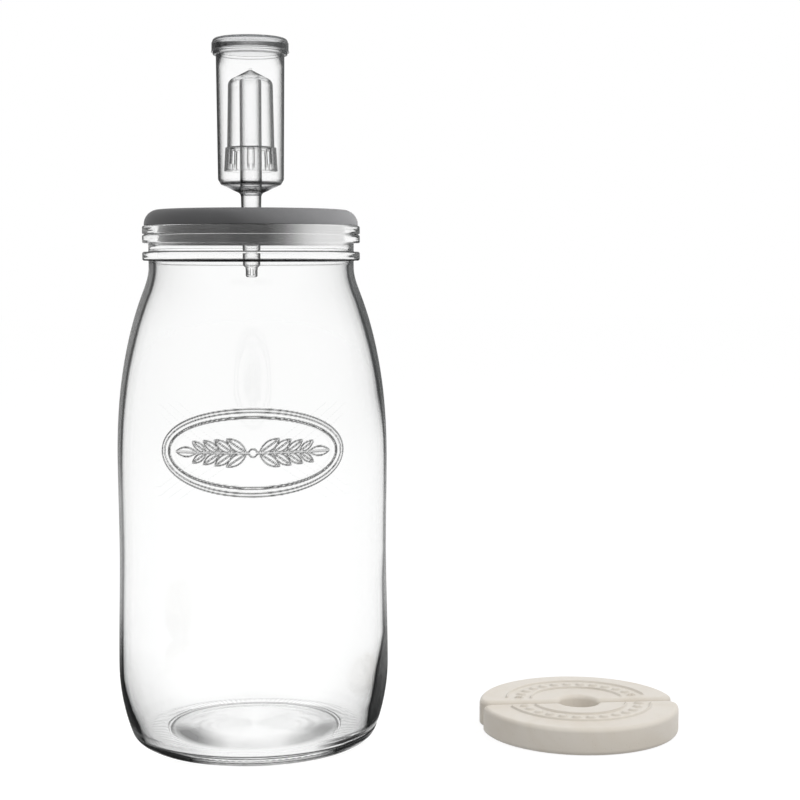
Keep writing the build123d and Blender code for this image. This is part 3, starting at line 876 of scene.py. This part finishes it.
class FERMENT_OT_jar(Operator):
    """Build the glass jar with its moulded ornament"""
    bl_idname = "ferment.jar"
    bl_label = "Glass Jar"

    def execute(self, context):
        jar = context.scene.ferment_jar
        outer_path, inner_path = jar_paths(jar)
        front = -math.pi / 2
        fine_half = math.radians(40.6)
        fine = np.linspace(-fine_half, fine_half, 195)
        coarse = np.linspace(fine_half, 2 * math.pi - fine_half, jar.sides)[1:-1]
        angles = np.concatenate((fine, coarse))
        outer, inner = turned(outer_path, front + angles), turned(inner_path, front + angles)
        # A point lies along the glass by its radius times its angle from the front. The ornament moves
        # it out along its radius by the ornament's height there times the relief.
        turn = np.where(angles > math.pi, angles - 2 * math.pi, angles)
        along = outer_path[:, :1] * turn / MM
        across = (outer_path[:, 1:] / MM - ORNAMENT_HEIGHT) + 0 * turn
        lift = 1 + jar.relief * jar_ornament(along, across) / np.maximum(outer_path[:, :1], 0.02)
        lift = np.where((np.abs(across) < ORNAMENT_RISE) & (outer_path[:, :1] > 0.06), lift, 1.0)
        outer[..., :2] *= lift[..., None]
        piece = shell("glass_jar", outer, inner)
        mark_edges(piece, lambda x, y, z: ornament_edges(x, y, z, jar.relief))
        glass = clear_material("Jar Glass", dict(JAR_LOOKS, tint=jar.tint))
        finish_piece(piece, "jar", "jar", glass)
        return {"FINISHED"}


def stem_radius_at(height):
    """Outer radius of the airlock's stem at a height, on a straight taper between its two ends."""
    share = (height - STEM_END) / (STEM_TOP - STEM_END)
    return STEM_END_RADIUS + (STEM_TOP_RADIUS - STEM_END_RADIUS) * share


class FERMENT_OT_lid(Operator):
    """Build the soft lid with its ribbed plug"""
    bl_idname = "ferment.lid"
    bl_label = "Soft Lid"

    def execute(self, context):
        lid = context.scene.ferment_lid
        rim, top = JAR_HIGH.z / MM, LID_HIGH.z / MM
        foot = LID_LOW.z / MM
        brim, plug, rib = lid.radius / MM, lid.plug_radius / MM, lid.rib_radius / MM
        hole_top = (stem_radius_at(LID_HIGH.z) + PUSH_CLEARANCE) / MM
        hole_foot = (stem_radius_at(LID_LOW.z) + PUSH_CLEARANCE) / MM
        hollow, under = plug - 5.0, top - 4.0
        boss_radius, boss = 9.5, foot + 1.5
        ribs = [corner for tip in (foot + 5.3, foot + 0.9)
                for corner in ((plug, tip + 0.9, 0.4), (rib, tip, 0.35), (plug, tip - 0.9, 0.4))]
        path = rounded_path((
            (hole_top, top, 0.3), (25.0, top), (brim, top, lid.edge_round / MM), (brim, rim, 0.35),
            (plug, rim, 0.5), *ribs[:-1], (plug, foot, 0.3), (hollow, foot, 0.8), (hollow, under, 1.2),
            (boss_radius, under, 1.2), (boss_radius, boss, 0.5), (hole_foot, boss, 0.3),
            (hole_top, top, 0.3)), 9)
        points = turned(path, even_angles(192))
        piece = mesh_piece("soft_lid", points, cells(*points.shape[:2], 0, True)[1])
        finish_piece(piece, "lid", "lid", rubber_material(tuple(lid.tone)))
        return {"FINISHED"}


def slot_angles(slots, half_width, between, inside=3):
    """Angles round a ring in which each slot's edges fall on a column, and which of its cells are slots."""
    pitch = 2 * math.pi / slots
    first = np.linspace(-half_width, half_width, inside)
    rest = np.linspace(half_width, pitch - half_width, between + 1)[1:-1]
    sector = np.concatenate((first, rest))
    angles = (np.arange(slots)[:, None] * pitch + sector).reshape(-1)
    in_slot = np.tile(np.arange(len(sector)) < inside - 1, slots)
    return angles, in_slot


class FERMENT_OT_airlock_body(Operator):
    """Build the airlock's chamber, riser, stem and slotted nozzle"""
    bl_idname = "ferment.airlock_body"
    bl_label = "Airlock Body"

    def execute(self, context):
        airlock = context.scene.ferment_airlock
        tip, top = BODY_LOW.z / MM, BODY_HIGH.z / MM
        mouth, foot = airlock.mouth_radius / MM, airlock.foot_radius / MM
        riser, nozzle = airlock.riser_radius / MM, airlock.nozzle_radius / MM
        wall = PLASTIC_WALL / MM
        stem_top, stem_end = STEM_TOP / MM, STEM_END / MM
        stem_high, stem_low = STEM_TOP_RADIUS / MM, STEM_END_RADIUS / MM
        bore_foot, slot_top, nozzle_top = tip + wall, tip + wall + 2.8, tip + 5.4
        funnel_top, chamber_foot, riser_top = 283.5, 286.2, 337.0
        flange, flange_radius, neck_radius, slot_half = top - 5.0, 18.7, 17.9, math.radians(16)
        # The funnel climbs by its rate for each millimetre across. Its wall, measured straight up, is
        # the wall's thickness times the length of such a step.
        rate = (funnel_top - stem_top) / (15.0 - stem_high)
        thick = wall * math.hypot(1, rate)
        floor_low = stem_top + thick + (riser - stem_high) * rate
        floor_high = funnel_top + thick - 0.6 * rate
        outer = rounded_path((
            (0.0, tip), (1.2, tip), (nozzle - 0.9, tip), (nozzle - 0.26, tip + 0.38),
            (nozzle, bore_foot), (nozzle, slot_top), (nozzle, nozzle_top, 0.3), (stem_low, stem_end, 0.3),
            (stem_high, stem_top, 2.4), (15.0, funnel_top, 1.6), (foot, chamber_foot, 2.0),
            (mouth - 0.06, flange - 1.4, 0.3), (flange_radius, flange - 1.4, 0.35),
            (flange_radius, flange, 0.35), (neck_radius, flange, 0.2), (neck_radius, top, 0.4),
            (mouth - wall / 2, top)))
        inner = rounded_path((
            (0.0, bore_foot), (0.6, bore_foot), (1.2, bore_foot), (1.6, bore_foot),
            (1.9, bore_foot), (1.9, slot_top), (1.9, nozzle_top, 0.3),
            (stem_low - 1.25, stem_end, 0.3), (4.0, stem_top, 0.5), (4.0, riser_top, 0.5),
            (riser, riser_top, 0.5), (riser, floor_low, 1.0), (14.4, floor_high, 1.0),
            (foot - wall, chamber_foot, 1.6), (mouth - wall, top, 0.4), (mouth - wall / 2, top)))
        # Both paths have their fifth row of cells on the nozzle's slotted band.
        angles, in_slot = slot_angles(4, slot_half, 32, 7)
        kept = np.ones((6, len(angles)), bool)
        kept[4, in_slot] = False
        piece = shell("airlock_chamber", turned(outer, angles), turned(inner, angles), kept)
        mark_edges(piece, lambda x, y, z: slot_edges(x, y, z, 4, slot_half, bore_foot, slot_top, 0.0, 1.5))
        clear = plastic("Clear Plastic", CHAMBER_LOOKS)
        finish_piece(piece, "airlock_body", "airlock", clear)
        return {"FINISHED"}


class FERMENT_OT_airlock_float(Operator):
    """Build the float, an inverted bell with a slotted skirt"""
    bl_idname = "ferment.airlock_float"
    bl_label = "Airlock Float"

    def execute(self, context):
        airlock = context.scene.ferment_airlock
        foot, nub_top = FLOAT_LOW.z / MM, FLOAT_HIGH.z / MM
        apex = nub_top - 0.5
        shoulder, skirt = airlock.float_radius / MM, airlock.skirt_radius / MM
        wall = FLOAT_WALL / MM
        ledge = foot + 11.8
        # The roof is a cone that falls by its rate for each millimetre out, and its wall, measured
        # straight up, is the wall's thickness times the length of such a step.
        roof_drop = 5.9
        rate = roof_drop / shoulder
        lift = wall * math.hypot(1, rate)
        slot_low, slot_high, slot_half = foot + 3.3, foot + 11.3, math.asin(1.5 / 13.2)
        skirt_high, skirt_mid = (skirt - 0.7 * (height - foot) / (ledge - foot)
                                 for height in (slot_high, slot_low))
        outer = rounded_path((
            (0.0, nub_top), (0.45, nub_top), (0.7, nub_top - 0.25), (0.7, apex - 0.7 * rate),
            (shoulder, apex - roof_drop, 4.0), (11.9, ledge), (skirt - 0.7, ledge, 0.24),
            (skirt_high, slot_high),
            (skirt_mid, slot_low), (skirt, foot, 0.3), (skirt - wall / 2, foot)), 9)
        inner = rounded_path((
            (0.0, apex - lift), (0.25, apex - lift - 0.25 * rate), (0.45, apex - lift - 0.45 * rate),
            (0.7, apex - lift - 0.7 * rate), (shoulder - wall, apex - lift - (shoulder - wall) * rate, 3.0),
            (11.9 - wall, ledge - wall), (skirt - 0.72 - wall, ledge - wall, 0.1),
            (skirt_high - wall, slot_high - 0.8), (skirt_mid - wall, slot_low), (skirt - wall, foot, 0.3),
            (skirt - wall / 2, foot)), 9)
        angles, in_slot = slot_angles(8, slot_half, 12, 7)
        angles = angles + math.pi / 2
        kept = np.ones((len(outer) - 1, len(angles)), bool)
        # The slots are left out of the row of cells that starts at their top, outside on the skirt.
        row = int(np.argmin(np.abs(outer[:, 1] - slot_high * MM) + 10 * (outer[:, 0] < 0.0125)))
        kept[row, in_slot] = False
        piece = shell("airlock_bell", turned(outer, angles), turned(inner, angles), kept)
        mark_edges(piece, lambda x, y, z: slot_edges(x, y, z, 8, slot_half, slot_low, slot_high, math.pi / 2,
                                                     skirt - 1.9))
        finish_piece(piece, "airlock_float", "float", plastic("Float Plastic", FLOAT_LOOKS))
        return {"FINISHED"}


class FERMENT_OT_airlock_cap(Operator):
    """Build the vented cap"""
    bl_idname = "ferment.airlock_cap"
    bl_label = "Airlock Cap"

    def execute(self, context):
        airlock = context.scene.ferment_airlock
        foot, top = CAP_LOW.z / MM, CAP_HIGH.z / MM
        crown = airlock.cap_radius / MM
        ring, vent, vents = 11.5, 0.6, 6
        near = np.array((-2.4, -1.7, -1.0, -0.5, 0.0, 0.5, 1.0, 1.7, 2.4)) * vent
        crown_rows = (0.0, 6.0, *(ring + near))
        near_rows = slice(2, 2 + len(near))
        outer = rounded_path(
            [(row, top) for row in crown_rows]
            + [(crown, top, 2.2), (crown, foot + 4.6, 0.15), (crown + 0.3, foot + 4.6, 0.15),
               (crown + 0.3, foot + 0.8, 0.3), (crown + 0.6, foot + 0.1, 0.1), (crown + 0.6, foot, 0.05),
               (crown - 0.4, foot)])
        under = top - 1.5
        inner = rounded_path(
            [(row, under) for row in crown_rows]
            + [(17.98, under, 0.5), (17.98, foot, 0.2), (crown - 0.4, foot)])
        pitch = 2 * math.pi / vents
        rest = np.linspace(near[-1] / ring, pitch - near[-1] / ring, 17)[1:-1]
        sector = np.concatenate((near / ring, rest))
        angles = (np.arange(vents)[:, None] * pitch + sector).reshape(-1)
        offset = np.tile(np.concatenate((near, np.full_like(rest, 99.0))), vents) / vent
        # Round each vent the grid's square is drawn in to a circle: a point's offset from the vent's
        # middle, in vent radii, is scaled by its larger part over its length. This fades out from 1 to 2.2.
        sheets = []
        for path in (outer, inner):
            points = turned(path, angles)
            across = (path[:, :1] / MM - ring) / vent + 0 * offset
            along = offset + 0 * across
            largest, reach = np.maximum(abs(across), abs(along)), np.hypot(across, along)
            fade = np.clip((2.2 - largest) / 1.2, 0, 1)
            draw = np.where(largest < 2.2, (largest / np.maximum(reach, 1e-6) - 1) * fade, 0.0)
            radial = np.stack((np.cos(angles), np.sin(angles)), axis=-1)
            sideways = np.stack((-np.sin(angles), np.cos(angles)), axis=-1)
            shift = (across * draw)[..., None] * radial + (along * draw)[..., None] * sideways
            points[near_rows, :, :2] += shift[near_rows] * vent * MM
            sheets.append(points)
        # Each hole is the four by four cells from -1 to 1.
        kept = np.ones((near_rows.stop, len(angles)), bool)
        column = np.tile(np.arange(len(sector)), vents)
        kept[4:8, (column >= 2) & (column < 6)] = False
        piece = shell("airlock_lid", *sheets, kept)
        frosted = clear_material("Frosted Cap Plastic", dict(CAP_LOOKS, tint=airlock.cap_tone))
        finish_piece(piece, "airlock_cap", "cap", frosted)
        return {"FINISHED"}


def edge_steps(reach, edge_round, spacing):
    """Distances from an edge: even turns of its rounding first, then even steps up to reach."""
    curve = edge_round * (1 - np.cos(np.linspace(0, math.pi / 2, 8)))
    rest = np.arange(edge_round + spacing, reach + 1e-9, spacing)
    return np.concatenate((curve, rest))


def weight_sheets(weights, side):
    """Upper and lower sheets of one half disc, with rows from notch to rim and columns from end to end.

    A point lies at r and t about the middle of the straight edge. The first columns keep even distances
    from that edge, r sin t, and the rest share out t evenly. At the corners the grid's square is drawn in
    to a quarter circle: each offset from the corner's centre is scaled by its larger part over its length.
    A point nearer the outline than the edge's round sits lower, on the round's quarter circle.
    """
    radius, thick, edge = weights.radius, weights.thickness, weights.edge_round
    notch, notch_out = weights.notch_radius, 0.0008
    corner, notch_corner = 0.006, 0.003
    near = edge_steps(0.0062, edge, 0.0008)
    half_turns = np.linspace(0, 1, 112)[1:]
    rows_in = edge_steps(0.0034, edge, 0.0005)
    rows_out = edge_steps(0.0064, edge, 0.0006)[::-1]
    middle = np.linspace(0, 1, 60)[1:-1]

    outward = np.concatenate((np.zeros(len(rows_in)), middle, np.ones(len(rows_out))))[:, None]
    between = rows_in[-1] - (rows_out[0] + rows_in[-1]) * middle
    shift = np.concatenate((rows_in, between, -rows_out))[:, None]
    first = np.arcsin(near / (notch + (radius - notch) * outward + shift))
    t = np.concatenate((first, first[:, -1:] + (math.pi / 2 - first[:, -1:]) * half_turns), axis=1)
    start_at = -notch_out * np.sin(t) + np.sqrt(notch ** 2 - (notch_out * np.cos(t)) ** 2)
    r = start_at + (radius - start_at) * outward + shift
    y = r * np.sin(t)
    x = r * np.cos(t)

    def draw_in(first_gap, second_gap, size):
        """Gaps to two edges, drawn in to the round of their corner, and the depth inside the outline."""
        p, q = np.clip(size - first_gap, 0, None), np.clip(size - second_gap, 0, None)
        pull = np.maximum(p, q) / np.maximum(np.hypot(p, q), 1e-9)
        inside = (p > 0) & (q > 0)
        return (np.where(inside, size - p * pull, first_gap), np.where(inside, size - q * pull, second_gap),
                np.where(inside, size - np.hypot(p, q) * pull, np.minimum(first_gap, second_gap)))

    rim_gap = radius - np.hypot(x, y)
    y_new, rim_new, rim_depth = draw_in(y, rim_gap, corner)
    x = np.where(rim_gap < corner, np.sqrt(np.maximum((radius - rim_new) ** 2 - y_new ** 2, 0)), x)
    y = np.where(rim_gap < corner, y_new, y)
    notch_gap = np.hypot(x, y + notch_out) - notch
    y_new, notch_new, notch_depth = draw_in(y, notch_gap, notch_corner)
    near_notch = notch_gap < notch_corner
    x = np.where(near_notch, np.sqrt(np.maximum((notch + notch_new) ** 2 - (y_new + notch_out) ** 2, 0)), x)
    y = np.where(near_notch, y_new, y)
    depth = np.clip(np.minimum.reduce((rim_depth, notch_depth, y)), 0, edge)
    drop = edge - np.sqrt(np.maximum(edge ** 2 - (edge - depth) ** 2, 0))
    r, t = np.hypot(x, y), np.arctan2(y, x)
    along = WEIGHT_MIDDLE * (math.pi / 2 - t) / MM
    across = (r - WEIGHT_MIDDLE) / MM
    lift = weights.relief * weight_ornament(along, across) * (depth >= edge)
    upper = np.stack((x, y, thick - drop + lift), axis=-1)
    lower = np.stack((x, y, drop), axis=-1)

    def whole(sheet):
        """Quarter and its mirror image in x as one sheet, at its place beside the jar."""
        other = sheet[:, ::-1][:, 1:] * (-1, 1, 1)
        full = np.concatenate((sheet, other), axis=1)
        full[..., 0] += weights.distance
        full[..., 1] = side * (full[..., 1] + weights.gap / 2)
        return full

    return whole(upper), whole(lower)


class FERMENT_OT_weights(Operator):
    """Build the two ceramic half discs"""
    bl_idname = "ferment.weights"
    bl_label = "Ceramic Weights"

    def execute(self, context):
        weights = context.scene.ferment_weights
        glaze = ceramic_material(tuple(weights.glaze))
        for name, side in (("back", 1), ("front", -1)):
            upper, lower = weight_sheets(weights, side)
            kept = np.ones((upper.shape[0] - 1, upper.shape[1] - 1), bool)
            piece = shell(f"ceramic_half_{name}", upper, lower, kept, ring=False, pole=False)
            mark_edges(piece, lambda x, y, z, side=side: weight_edges(x, y, z, weights, side))
            finish_piece(piece, f"weight_{name}", f"weight_{name}", glaze)
        return {"FINISHED"}


# Studio


def seen_ray(tree):
    """Output that is 1 for what the camera sees, itself, in a reflection or through glass."""
    path = node(tree, "ShaderNodeLightPath").outputs
    first = maths(tree, "MAXIMUM", path["Is Camera Ray"], path["Is Glossy Ray"])
    return maths(tree, "MAXIMUM", first, path["Is Transmission Ray"])


def area_lamp(name, place, target, size, spread, power):
    """Square soft lamp that faces a target and shows in no reflection and through no glass.

    A lamp shines down until it is tipped by the angle between straight down and the way to its target,
    and is then turned to that way's bearing.
    """
    lamp = bpy.data.lights.new(name, "AREA")
    lamp.size, lamp.spread, lamp.energy = size, math.radians(spread), power
    holder = bpy.data.objects.new(name, lamp)
    bpy.context.scene.collection.objects.link(holder)
    forward = unit(np.array(target, float) - np.array(place, float))
    holder.location = place
    holder.rotation_euler = (math.acos(-forward[2]), 0.0, math.atan2(forward[1], forward[0]) - math.pi / 2)
    holder.visible_glossy = holder.visible_transmission = False


# Name, place, target, size, spread in degrees, and power as a share of the key lamp's.
LAMPS = (
    ("side_lamp", (1.10, -0.10, 0.62), (0.0, 0.0, 0.275), 0.3, 20, 0.22),
    ("key_lamp", (-0.7, -0.9, 1.1), (0.03, 0.0, 0.15), 0.7, 180, 1.0),
    ("fill_lamp", (0.9, -0.5, 1.0), (0.03, 0.0, 0.15), 0.7, 180, 1.4),
    ("back_lamp", (0.3, 1.0, 0.9), (0.03, 0.0, 0.15), 0.6, 180, 0.4),
)
FLOOR_HEIGHT = -0.2 * MM
CAMERA_PLACE = (0.0, -0.870, 0.2475)
CAMERA_DOWN, CAMERA_RIGHT = math.radians(4.82), math.radians(4.966)
LIGHT_BOUNCES = 32


class FERMENT_OT_studio(Operator):
    """Build the floor, the light and the camera"""
    bl_idname = "ferment.studio"
    bl_label = "Studio"

    def execute(self, context):
        studio = context.scene.ferment_studio
        half = studio.floor_size / 2
        x, y = np.meshgrid((-half, half), (-half, half))
        floor_mesh = bpy.data.meshes.new("studio_floor")
        points = np.stack((x, y, np.full_like(x, FLOOR_HEIGHT)), axis=-1).reshape(-1, 3)
        floor_mesh.from_pydata(points, [], [(0, 1, 3, 2)])
        floor = bpy.data.objects.new("studio_floor", floor_mesh)
        context.scene.collection.objects.link(floor)
        material = bpy.data.materials.new("Pale Floor")
        material.use_nodes = True
        tree = material.node_tree
        tree.nodes.clear()
        paint = node(tree, "ShaderNodeBsdfDiffuse", {"Color": (0.2, 0.2, 0.2, 1.0)})
        level = scaled(tree, seen_ray(tree), 0.0, 1.0, 0.18, 0.89)
        glow = node(tree, "ShaderNodeEmission", {"Color": WHITE, "Strength": level})
        both = node(tree, "ShaderNodeAddShader", {0: paint.outputs["BSDF"], 1: glow.outputs["Emission"]})
        node(tree, "ShaderNodeOutputMaterial", {"Surface": both.outputs["Shader"]})
        floor_mesh.materials.append(material)

        world = bpy.data.worlds.new("Studio Light")
        context.scene.world = world
        world.use_nodes = True
        tree = world.node_tree
        tree.nodes.clear()
        level = scaled(tree, seen_ray(tree), 0.0, 1.0, studio.room_light, 1.0)
        sky = node(tree, "ShaderNodeBackground", {"Color": WHITE, "Strength": level})
        node(tree, "ShaderNodeOutputWorld", {"Surface": sky.outputs["Background"]})
        for *lamp, share in LAMPS:
            area_lamp(*lamp, studio.key_power * share)

        lens = bpy.data.cameras.new("studio_camera")
        lens.lens = studio.lens
        lens.sensor_width = 36.0
        lens.sensor_fit = "HORIZONTAL"
        camera = bpy.data.objects.new("studio_camera", lens)
        context.scene.collection.objects.link(camera)
        camera.location = CAMERA_PLACE
        camera.rotation_euler = (math.pi / 2 - CAMERA_DOWN, 0.0, -CAMERA_RIGHT)
        context.scene.camera = camera
        context.scene.view_settings.view_transform = "Standard"
        for kind in ("max_bounces", "transmission_bounces", "glossy_bounces"):
            setattr(context.scene.cycles, kind, LIGHT_BOUNCES)
        return {"FINISHED"}


class FERMENT_PT_panel(Panel):
    """Lists the pieces of the fermentation jar"""
    bl_idname = "FERMENT_PT_panel"
    bl_label = "Fermentation Jar"
    bl_space_type = "VIEW_3D"
    bl_region_type = "UI"
    bl_category = "Ferment"

    def draw(self, context):
        layout = self.layout
        for operator, settings in PANEL_ROWS:
            box = layout.box()
            box.operator(operator)
            group = getattr(context.scene, settings)
            for key in group.__annotations__:
                box.prop(group, key)


PANEL_ROWS = (
    ("ferment.jar", "ferment_jar"),
    ("ferment.lid", "ferment_lid"),
    ("ferment.airlock_body", "ferment_airlock"),
    ("ferment.airlock_float", "ferment_airlock"),
    ("ferment.airlock_cap", "ferment_airlock"),
    ("ferment.weights", "ferment_weights"),
    ("ferment.studio", "ferment_studio"),
)
CLASSES = (
    JarSettings, LidSettings, AirlockSettings, WeightSettings, StudioSettings,
    FERMENT_OT_jar, FERMENT_OT_lid, FERMENT_OT_airlock_body, FERMENT_OT_airlock_float,
    FERMENT_OT_airlock_cap, FERMENT_OT_weights, FERMENT_OT_studio, FERMENT_PT_panel,
)
SETTINGS = {
    "ferment_jar": JarSettings, "ferment_lid": LidSettings, "ferment_airlock": AirlockSettings,
    "ferment_weights": WeightSettings, "ferment_studio": StudioSettings,
}


def register():
    """Registers the classes and gives each scene its settings."""
    for cls in CLASSES:
        bpy.utils.register_class(cls)
    for name, cls in SETTINGS.items():
        setattr(bpy.types.Scene, name, PointerProperty(type=cls))


def unregister():
    """Takes back what register did, in the opposite order."""
    for name in SETTINGS:
        delattr(bpy.types.Scene, name)
    for cls in reversed(CLASSES):
        bpy.utils.unregister_class(cls)


def main():
    """Makes the studio and every piece."""
    register()
    bpy.ops.ferment.studio()
    bpy.ops.ferment.jar()
    bpy.ops.ferment.lid()
    bpy.ops.ferment.airlock_body()
    bpy.ops.ferment.airlock_float()
    bpy.ops.ferment.airlock_cap()
    bpy.ops.ferment.weights()


if __name__ == "__main__":
    main()
